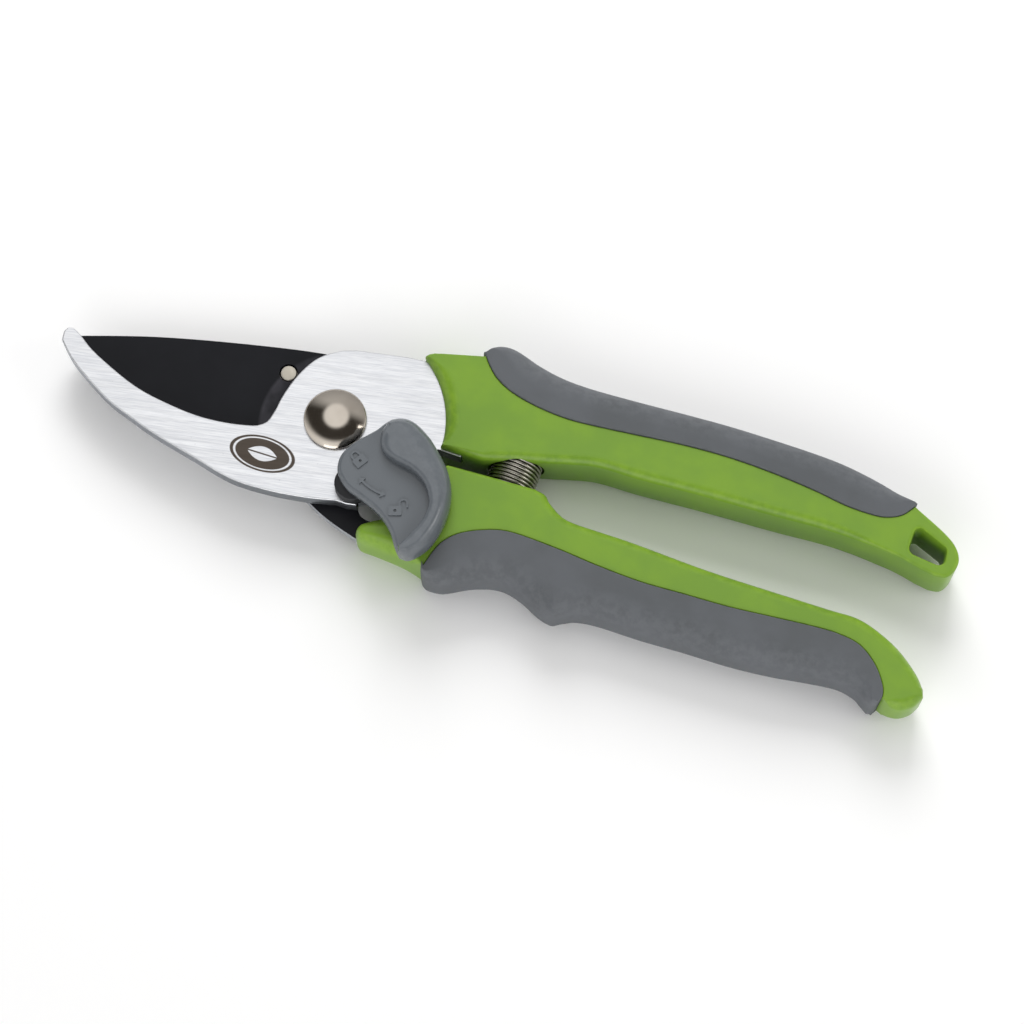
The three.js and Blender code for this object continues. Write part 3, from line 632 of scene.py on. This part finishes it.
def blade_coating():
    """Dark non-stick coating, scuffed where the hook slides over it and rubbed through to steel along its
    rims.
    """
    material, tree, shader = finish("blade_coating", **{"Specular IOR Level": 0.18})
    grain = use(tree, GRAIN, Scale=2.0)
    split = put(tree, "ShaderNodeVectorMath", {0: here(tree), 1: (PIVOT.x, PIVOT.y, BLADE_TOP * MM)},
                operation="DISTANCE")
    away = split.outputs["Value"]
    ring = maths(tree, "MULTIPLY", ramp(tree, away, 0.0125, 0.0165),
                 maths(tree, "SUBTRACT", 1.0, ramp(tree, away, 0.0172, 0.0182)))
    haze = maths(tree, "MULTIPLY", ring, ramp(tree, grain["Tone"], 0.3, 0.7))
    base = mixed(tree, ramp(tree, grain["Tone"], 0.3, 0.7), srgb("0e0f14"), srgb("14151a"))
    scuffed = mixed(tree, haze, base, srgb("4a494f"))
    rim_share = use(tree, RIM_WEAR_AND_HIGHLIGHT, Amount=0.5, Scale=1.2)["RimShare"]
    colour = mixed(tree, rim_share, scuffed, srgb("5c5d62"))
    rough = maths(tree, "MULTIPLY_ADD", grain["Grain"], 0.14)
    rough.node.inputs[2].default_value = 0.32
    feed(tree, shader, Base_Color=colour, Roughness=rough, Normal=bumped(tree, grain["Grain"], 0.25, 0.01))
    return material


def metal(name, colour, other, roughness, turn=0.0, scale=3.0, depth=0.012):
    """Bare metal with fine lines and a little change of tone."""
    material, tree, shader = finish(name, Metallic=1.0)
    lines = use(tree, BRUSHED, Turn=turn, Scale=scale)
    grain = use(tree, GRAIN, Scale=2.0)
    tone = mixed(tree, ramp(tree, grain["Tone"], 0.35, 0.65), colour, other)
    rim_share = use(tree, RIM_WEAR_AND_HIGHLIGHT, Amount=0.35, Scale=1.0)["RimShare"]
    bright = mixed(tree, rim_share, tone, srgb("e8e6e1"))
    rough = maths(tree, "MULTIPLY_ADD", lines["Lines"], roughness * 0.6)
    rough.node.inputs[2].default_value = roughness * 0.7
    feed(tree, shader, Base_Color=bright, Roughness=rough, Normal=bumped(tree, lines["Lines"], 0.2, depth))
    return material


GREEN, RUBBER, LEVER, BLACK_AND_SHADE = green_plastic(), soft_rubber(), lever_plastic(), black_plastic()
HOOK_STEEL, COATING = ground_steel(), blade_coating()
NICKEL = metal("nickel", srgb("b4aba0"), srgb("c4bcb1"), 0.13, depth=0.003)
PIN_STEEL = metal("scratched_nickel", srgb("d2cbbc"), srgb("e8e2d5"), 0.46, turn=0.9, scale=2.0, depth=0.03)
SPRING_STEEL = metal("spring_steel", srgb("8f8c84"), srgb("a5a197"), 0.24, depth=0.004)
BARE_STEEL = metal("bare_steel", srgb("b5bac0"), srgb("cdd1d6"), 0.3, turn=0.3, scale=3.0, depth=0.02)
SHEARED_AND_SHADED_STEEL = metal("sheared_and_shaded_steel", srgb("85898e"), srgb("9a9ea4"), 0.42, turn=0.3, scale=2.5, depth=0.03)
BRONZE = metal("bush_bronze", srgb("8f6a3a"), srgb("a97f48"), 0.35, depth=0.01)

# ------------------------------------------------------------------ camera, light and floor


def studio():
    camera = bpy.data.objects.new("camera", bpy.data.cameras.new("camera"))
    camera.location = (0.074662, -0.196751, 0.630790)
    camera.rotation_euler = (math.radians(18), 0, math.radians(20))
    camera.data.lens = 101.95
    bpy.context.scene.collection.objects.link(camera)
    bpy.context.scene.camera = camera
    bpy.context.scene.view_settings.view_transform = "Standard"

    bm = bmesh.new()
    bmesh.ops.create_grid(bm, x_segments=1, y_segments=1, size=3)
    floor = piece_from(bm, "floor")
    paper, _, _ = finish("floor_paper", **{"Base Color": (0.97, 0.97, 0.97, 1), "Roughness": 0.9,
                                           "Specular IOR Level": 0.1})
    floor.data.materials.append(paper)

    for name, place_at, size, power, colour in (
        ("key_box", (-0.25, 0.7, 0.6), 0.5, 5.0, (1, 1, 1)),
        ("side_box", (0.7, 0.15, 0.5), 0.3, 0.8, (1, 0.98, 0.95)),
        ("fill_box", (0.1, -0.8, 0.35), 0.6, 1.6, (1, 1, 1)),
    ):
        lamp = bpy.data.lights.new(name, "AREA")
        lamp.size, lamp.energy, lamp.color = size, power, colour
        holder = bpy.data.objects.new(name, lamp)
        holder.location = place_at
        holder.rotation_euler = (-Vector(place_at)).to_track_quat("-Z", "Y").to_euler()
        holder.visible_glossy = name != "key_box"
        bpy.context.scene.collection.objects.link(holder)

    world = bpy.data.worlds.new("studio")
    bpy.context.scene.world = world
    world.use_nodes = True
    tree = world.node_tree
    tree.nodes.clear()
    # Bright overhead. A dark ring round the zenith, open towards the far side, is for polished metal to show.
    way = put(tree, "ShaderNodeTexCoord").outputs["Generated"]
    x, y, z = put(tree, "ShaderNodeSeparateXYZ", {0: way}).outputs
    right, up = (
        put(tree, "ShaderNodeVectorMath", {0: way, 1: along}, operation="DOT_PRODUCT").outputs["Value"]
        for along in ((0.94, 0.342, 0), (-0.342, 0.94, 0))
    )
    raised = maths(tree, "SUBTRACT", up, 0.3)
    away = maths(tree, "SQRT", maths(tree, "ADD", maths(tree, "MULTIPLY", right, right),
                                     maths(tree, "MULTIPLY", raised, raised)))
    ring = maths(tree, "MULTIPLY", ramp(tree, away, 0.36, 0.5),
                 maths(tree, "SUBTRACT", 1.0, ramp(tree, away, 0.82, 0.98)))
    leant = maths(tree, "ADD", raised, maths(tree, "MULTIPLY", right, 0.35))
    dark = maths(tree, "MULTIPLY", ring, maths(tree, "SUBTRACT", 1.0, maths(tree, "MULTIPLY", ramp(
        tree, leant, 0.05, 0.45), 0.55)))
    shade = mixed(tree, ramp(tree, z, -0.1, 0.7), (0.74, 0.74, 0.75, 1), (1.12, 1.12, 1.12, 1))
    shaded = mixed(tree, dark, shade, (0.05, 0.045, 0.04, 1))
    back = put(tree, "ShaderNodeBackground", {"Color": shaded, "Strength": 1.05})
    output = put(tree, "ShaderNodeOutputWorld")
    tree.links.new(back.outputs[0], output.inputs[0])


studio()

# ------------------------------------------------------------------ jaws


BUSH_HOLE, PIN_HOLE, RIVET_HOLE = 4.8, 2.05, 2.15  # radii
SLOT_HALF = 2.25  # half the width of the catch's slot
SLOT_SWEEP = 25 * 1.6  # the lever's turn in degrees, and room past it


def catch_slot():
    """The slot that the catch's peg sweeps, round the lock pivot."""
    arm = CATCH - LOCK_PIVOT
    start = math.degrees(math.atan2(arm.y, arm.x))
    reach, half, sweep = arm.length, SLOT_HALF, SLOT_SWEEP
    ends = [LOCK_PIVOT + Matrix.Rotation(math.radians(start + turn), 2) @ Vector((reach, 0))
            for turn in (0, sweep)]
    outline = loop(
        arc(*LOCK_PIVOT, reach + half, start, start + sweep),
        arc(*ends[1], half, start + sweep, start + sweep + 180),
        arc(*LOCK_PIVOT, reach - half, start + sweep, start),
        arc(*ends[0], half, start + 180, start + 360),
    )
    return skin("slot", plain(outline, HOOK_BACK - 1, HOOK_TOP + 1))


hook = skin(
    "hook",
    wall(hook_outline, HOOK_BACK, HOOK_TOP, 0.3),
    hole(circle(0, 0, BUSH_HOLE), HOOK_BACK, HOOK_TOP, 0.2),
    hole(circle(*LOCK_PIVOT, PIN_HOLE, 32), HOOK_BACK, HOOK_TOP, 0.2),
)
shape(hook, catch_slot())
place(hook, "hook_side", "ground_steel", HOOK_STEEL, SHEARED_AND_SHADED_STEEL, replaces=["hook_plate"])
# The side walls take a darker steel: partly the sheared edge's own rougher finish, partly painted shade on
# the sides.
for polygon in hook.data.polygons:
    if abs(polygon.normal.z) < 0.6:
        polygon.material_index = 1


BEVEL, LAND = 5.0, 0.4  # width of the ground bevel, and the thickness that it leaves at the edge
TIP_SHARE = 0.6
BARE_BELOW = 14  # rims further than this below the pivot are bare steel


def blade():
    """The blade: a flat coated front, a ground bevel on the back of its cutting edge and bare rims."""
    rings = wall(blade_outline, BLADE_BACK, BLADE_TOP, 0.15)
    cutting = near(blade_outline, cutting_edge)
    runs = [1.0 if on else 0.0 for on in cutting]
    for _ in range(10):
        runs = [min(own, (2 * own + a + b) / 4) if own < 1 else (2 * own + a + b) / 4
                for own, a, b in zip(runs, runs[1:] + runs[:1], runs[-1:] + runs[:-1])]
    # Near the tip the bevel takes only a share of the blade's own depth.
    depths = [max(q.y for q in blade_outline if abs(q.x - p.x) < 1.5) - p.y for p in blade_outline]
    runs = [min(run, TIP_SHARE * depth / BEVEL) for run, depth in zip(runs, depths)]
    # The back's rings move in by the bevel's width, and the last of them rises to the land instead.
    half = len(rings) // 2
    back_rings = [[(x, y + BEVEL * run, z, rim) for (x, y, z, rim), run in zip(ring, runs)]
                  for ring in rings[:half - 1]]
    landed = [(x, y, z + (BLADE_TOP - LAND - z) * min(run * 2, 1) if run > 0.01 else z, rim)
              for (x, y, z, rim), run in zip(rings[half - 1], runs)]
    lifted = [*back_rings, landed, *rings[half:]]
    made = skin(
        "blade",
        lifted,
        hole(circle(0, 0, BUSH_HOLE), BLADE_BACK, BLADE_TOP, 0.2),
        hole(circle(*RIVET, RIVET_HOLE, 40), BLADE_BACK, BLADE_TOP, 0.1),
    )
    place(made, "blade_side", "coated_blade", COATING, BARE_STEEL, replaces=["cutting_blade"])
    for polygon in made.data.polygons:
        slope = polygon.normal.z
        outer_side = abs(slope) < 0.5 and polygon.center.y < PIVOT.y - BARE_BELOW * MM
        if -0.98 < slope < -0.6 or outer_side:
            polygon.material_index = 1
    return made


blade()

# ------------------------------------------------------------------ handles

THIN_START, THIN_END = 104, 132
END_SHARE = 12 / 14.1  # thickness at the ends over the thickness at the pivot


def thinned(piece):
    """The handles thin towards their ends, equally on both faces."""
    bm = bmesh.new()
    bm.from_mesh(piece.data)
    for x in range(THIN_START - 2, THIN_END + 3, 2):
        geometry = bm.verts[:] + bm.edges[:] + bm.faces[:]
        bmesh.ops.bisect_plane(bm, geom=geometry, plane_co=(x, 0, 0), plane_no=(1, 0, 0), dist=0.001)
    for vert in bm.verts:
        t = min(max((vert.co.x - THIN_START) / (THIN_END - THIN_START), 0), 1)
        share = 1 + (END_SHARE - 1) * t * t * (3 - 2 * t)
        vert.co.z = MID + (vert.co.z - MID) * share
    bm.to_mesh(piece.data)
    bm.free()


POCKET_DIAMETER, POCKET_SPARE = 12.4, 1.4
HANGING_END = 124  # the upper handle's walls are thin from here on, round its hole
SEAM_GAP = 0.06
SEAM_RIM, HOLE_RIM, SHELL_RIM, CHEEK_RIM, GRIP_ROLL = 0.35, 0.9, 2.4, 3.6, 6.5
UPPER_ROLL_HEIGHT, LOWER_ROLL_HEIGHT = 2.8, 4.6
TANG_FIT = 0.3
GRIP_FLAT = 0.9  # half the height of the upright band between a grip's two rolled edges


def handle(name, node, body, outline, seam, tang, tang_levels, pocket, cheek, roll_height, *holes):
    """A green shell, with a slot for its tang, a pocket for the spring and one edge rolled over more."""
    at_seam, rolled = near(outline, seam), near(outline, cheek)
    edge = [HOLE_RIM if holes and p.x > HANGING_END else SHELL_RIM for p in outline]
    widths = [SEAM_RIM if close else CHEEK_RIM if roll else most
              for close, roll, most in zip(at_seam, rolled, edge)]
    shell = skin(name, wall(outline, SHELL_BACK, SHELL_TOP, widths, roll_height, steps=7), *holes)
    back, top = tang_levels
    shape(shell, skin("tang", plain(offset(tang, TANG_FIT), back - TANG_FIT, top + TANG_FIT)))
    shape(shell, rod_y("pocket", SPRING_X, MID, POCKET_DIAMETER, *pocket))
    thinned(shell)
    return place(shell, body, "green_shell", GREEN, replaces=[node])


def grip(name, node, body, side, seam):
    """A soft grip: round along its outer side, and a close seam with a small rim against the shell."""
    outline = loop(side, seam[::-1])
    outer = near(outline, side)
    ways = inward(outline)
    moved = [p if on else p + way * SEAM_GAP for p, way, on in zip(outline, ways, outer)]
    widths = [GRIP_ROLL if on else SEAM_RIM for on in outer]
    rise = (GRIP_TOP - GRIP_BACK) / 2 - GRIP_FLAT
    body_skin = skin(name, wall(moved, GRIP_BACK, GRIP_TOP, widths, rise, steps=12))
    thinned(body_skin)
    return place(body_skin, body, "soft_grip", RUBBER, replaces=[node], sharp=50)


coil_low, coil_high = ((corner[1] - PIVOT.y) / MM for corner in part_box("return_spring"))
handle("upper_shell", "upper_handle", "hook_side", upper_outline, upper_seam, hook_outline,
       (HOOK_BACK, HOOK_TOP), (coil_low, coil_high + POCKET_SPARE), upper_front, UPPER_ROLL_HEIGHT,
       hole(hanging_hole, SHELL_BACK, SHELL_TOP, 0.7))
handle("lower_shell", "lower_handle", "blade_side", lower_outline, lower_seam, blade_outline,
       (BLADE_BACK, BLADE_TOP), (coil_low - POCKET_SPARE, coil_high), lower_cheek, LOWER_ROLL_HEIGHT)
grip("upper_soft_grip", "upper_grip", "hook_side", upper_side, upper_seam)
grip("lower_soft_grip", "lower_grip", "blade_side", lower_side, lower_seam)

# ------------------------------------------------------------------ pivot


ACROSS_FLATS, BOLT_HOLE, DOME_STEPS = 10, 3.3, 24


def dome():
    """The bolt: a polished domed head with a small straight rim, and its shank."""
    radius, rim, shank = 7.15, 0.6, 3.0
    low = HOOK_TOP + 0.3
    rise = DOME_TOP - low - rim
    sphere = (radius * radius + rise * rise) / (2 * rise)
    widest = math.asin((radius - 0.15) / sphere)
    profile = [(0, BOLT_LOW), (shank - 0.4, BOLT_LOW, 0.5), (shank, BOLT_LOW + 0.4, 0.5), (shank, low),
               (radius - 0.3, low), (radius - 0.05, low + 0.15, 1), (radius, low + rim - 0.1, 1)]
    for k in range(DOME_STEPS + 1):
        angle = widest * (1 - k / DOME_STEPS)
        profile.append((sphere * math.sin(angle), DOME_TOP - sphere * (1 - math.cos(angle))))
    return lathe("pivot_dome", profile)


def washer(name, inner, outer, low, high, centre=(0, 0), soft=0.12):
    """A flat ring with its four rims softened."""
    return lathe(name, [(inner, low + soft), (inner + soft, low), (outer - soft, low), (outer, low + soft, 1),
                        (outer, high - soft, 1), (outer - soft, high), (inner + soft, high),
                        (inner, high - soft)], centre)


def nut(low, high):
    """A hexagon nut with its corners chamfered off."""
    bm = bmesh.new()
    bmesh.ops.create_circle(bm, cap_ends=True, segments=6, radius=ACROSS_FLATS / math.sqrt(3),
                            matrix=Matrix.Translation((0, 0, low)))
    raised = bmesh.ops.extrude_face_region(bm, geom=bm.faces[:])["geom"]
    lifted = [v for v in raised if isinstance(v, bmesh.types.BMVert)]
    bmesh.ops.translate(bm, verts=lifted, vec=(0, 0, high - low))
    bmesh.ops.recalc_face_normals(bm, faces=bm.faces)
    bmesh.ops.bevel(bm, geom=bm.edges[:], affect="EDGES", offset=0.3, segments=3, profile=0.5, material=-1)
    made = piece_from(bm, "hex_nut")
    shape(made, skin("bore", plain(circle(0, 0, BOLT_HOLE), low - 1, high + 1)))
    return made


place(dome(), "hook_side", "nickel", NICKEL, replaces=["pivot_bolt"])
place(washer("plain_washer", BOLT_HOLE, 6.5, *levels("pivot_washer")), "hook_side", "spring_steel",
      SPRING_STEEL, replaces=["pivot_washer"])
place(nut(*levels("pivot_nut")), "hook_side", "nickel", NICKEL, replaces=["pivot_nut"])

rivet_low, rivet_top = levels("blade_rivet")
rivet = lathe("rivet", [(0, rivet_low), (2.4, rivet_low, 0.4), (2.7, rivet_low + 0.25, 1),
                        (2.7, rivet_low + 0.8, 0.4), (1.85, rivet_low + 0.8), (1.85, rivet_top - 0.22, 0.3),
                        (1.72, rivet_top - 0.06, 1), (1.5, rivet_top, 0.4), (0, rivet_top)], RIVET, 64)
place(rivet, "blade_side", "nickel", PIN_STEEL, replaces=["blade_rivet"])

# ------------------------------------------------------------------ return spring

COIL_RADIUS, WIRE, PITCH, TURNS, COIL_STEPS = 5.325, 0.85, 0.93, 13.5, 40


def return_spring():
    """The closed coil between the handles."""
    bm = bmesh.new()
    first = coil_low + WIRE / 2
    bmesh.ops.create_circle(bm, cap_ends=False, segments=12, radius=WIRE / 2,
                            matrix=Matrix.Translation((SPRING_X + COIL_RADIUS, first, MID)))
    steps = int(TURNS * COIL_STEPS)
    bmesh.ops.spin(bm, geom=bm.verts[:] + bm.edges[:], cent=(SPRING_X, first, MID), axis=(0, 1, 0),
                   angle=-math.tau * TURNS, steps=steps, use_merge=False, use_duplicate=False,
                   dvec=(0, PITCH * TURNS / steps, 0))
    bmesh.ops.holes_fill(bm, edges=[e for e in bm.edges if e.is_boundary], sides=16)
    bmesh.ops.recalc_face_normals(bm, faces=bm.faces)
    spring = piece_from(bm, "coil_spring")
    place(spring, None, "spring_steel", SPRING_STEEL, replaces=["return_spring"], sharp=60)
    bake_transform(spring)
    return spring


return_spring()

# ------------------------------------------------------------------ thumb lock


def icon(*outlines):
    """A thin raised shape on the lever's face, from an outline and the holes in it."""
    low, high = LEVER_TOP - 0.4, LEVER_TOP + 0.35
    return skin("icon", *[plain(outline, low, high) for outline in outlines])


def padlock(centre, turn, opened):
    """A plain padlock: a body with a keyhole, and a shackle that is closed or swung to one side."""
    turned = Matrix.Rotation(math.radians(turn), 2)

    def settle(points):
        return [Vector(centre) + turned @ p for p in points]

    body = loop(arc(1.2, -1.0, 0.3, -90, 0, 4), arc(1.2, 0.6, 0.3, 0, 90, 4),
                arc(-1.2, 0.6, 0.3, 90, 180, 4), arc(-1.2, -1.0, 0.3, 180, 270, 4))
    shift = 1.9 if opened else 0
    shackle = loop(straight([(1.1 + shift, 0.5)]), arc(shift, 1.5, 1.1, 0, 180, 12),
                   straight([(-1.1 + shift, 0.5), (-0.65 + shift, 0.5)]), arc(shift, 1.5, 0.65, 180, 0, 12),
                   straight([(0.65 + shift, 0.5)]))
    return [icon(settle(body), settle(circle(0, -0.2, 0.35, 16))), icon(settle(shackle))]


def double_arrow(centre, reach, start, end):
    """A bent band with an arrow head at both ends, round the lock's pivot."""
    head, half = 5.5, 0.25
    tips = []
    for angle, way in ((start, -1), (end, 1)):
        tips.append([arc(*centre, reach + off, angle + turn * way, angle + turn * way, 1)[0]
                     for off, turn in ((-half, 0), (-0.95, 0), (0, head), (0.95, 0), (half, 0))])
    band = loop(tips[0], arc(*centre, reach + half, start, end, 12), tips[1][::-1],
                arc(*centre, reach - half, end, start, 12))
    return [icon(band)]


def lever():
    """The thumb lever: a flat plate with a soft rim, and a tall smooth rib that swells over the pivot."""
    plate = skin("thumb_lever", wall(lever_outline, LEVER_BACK, LEVER_TOP, 1.0, 1.5, steps=6, back_rise=0.8))
    rib_side = smooth([(12.4, -0.6), (12.5, 0.8), (13.6, 2.3), (15.8, 3.3), (18.6, 3.2), (22.1, 1.5)])
    rib_side += [p for p in lever_side if p.x > 22.3 or p.y < 0]
    outline = loop(rib_side, rib_edge)
    outer = near(outline, rib_side)
    bulb, tip = Vector((14.6, -2.2)), Vector((26.4, -25.4))
    widths = [6.0 if on else max(1.3, 4.2 - 0.55 * (p - bulb).length, 3.2 - 0.6 * (p - tip).length)
              for p, on in zip(outline, outer)]
    rib = skin("rib", wall(outline, LEVER_BACK + 1.0, RIB_TOP, widths, RIB_TOP - LEVER_BACK - 2.2, steps=12,
                           back_rise=0.3))
    shape(plate, rib, "UNION")
    boss = skin("boss", plain(circle(*LOCK_PIVOT, 4.5), LEVER_LOW, LEVER_BACK + 1))
    shape(plate, boss, "UNION")
    raised = (padlock((9.9, -9.4), 60, False) + double_arrow(LOCK_PIVOT, 11.2, -118, -92)
              + padlock((21.4, -17.6), 20, True))
    for mark in raised:
        shape(plate, mark, "UNION")
    return plate


place(lever(), "lever_side", "lever_plastic", LEVER, sharp=50, replaces=["lock_lever"])
catch_top = LEVER_BACK - 0.3
PEG = 1.8
peg_top = LEVER_BACK + 1.6
# The catch is a real part, but its black colour also stands in for the shade and reflection under the lever's
# edge: partly painted shade.
catch = lathe(
    "catch_disc",
    [(0, CATCH_BACK), (PEG, CATCH_BACK), (PEG, HOOK_TOP + 0.3), (4.0, HOOK_TOP + 0.3),
     (4.2, HOOK_TOP + 0.5, 1), (4.2, catch_top - 0.5), (4.05, catch_top - 0.15, 1), (3.7, catch_top),
     (PEG, catch_top), (PEG, peg_top), (0, peg_top)],
    CATCH, 64)
place(catch, "lever_side", "black_plastic", BLACK_AND_SHADE, replaces=["lock_catch"])

# ------------------------------------------------------------------ CAD nodes that stay

for node, material in (
    ("pivot_bush", BRONZE),
    ("pivot_disc", BLACK_AND_SHADE),
    ("upper_spring_seat", BLACK_AND_SHADE),
    ("lower_spring_seat", BLACK_AND_SHADE),
    ("lock_pin", SPRING_STEEL),
    ("lock_washer", SPRING_STEEL),
):
    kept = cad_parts[node]
    for slot_of in kept.material_slots:
        slot_of.material = material
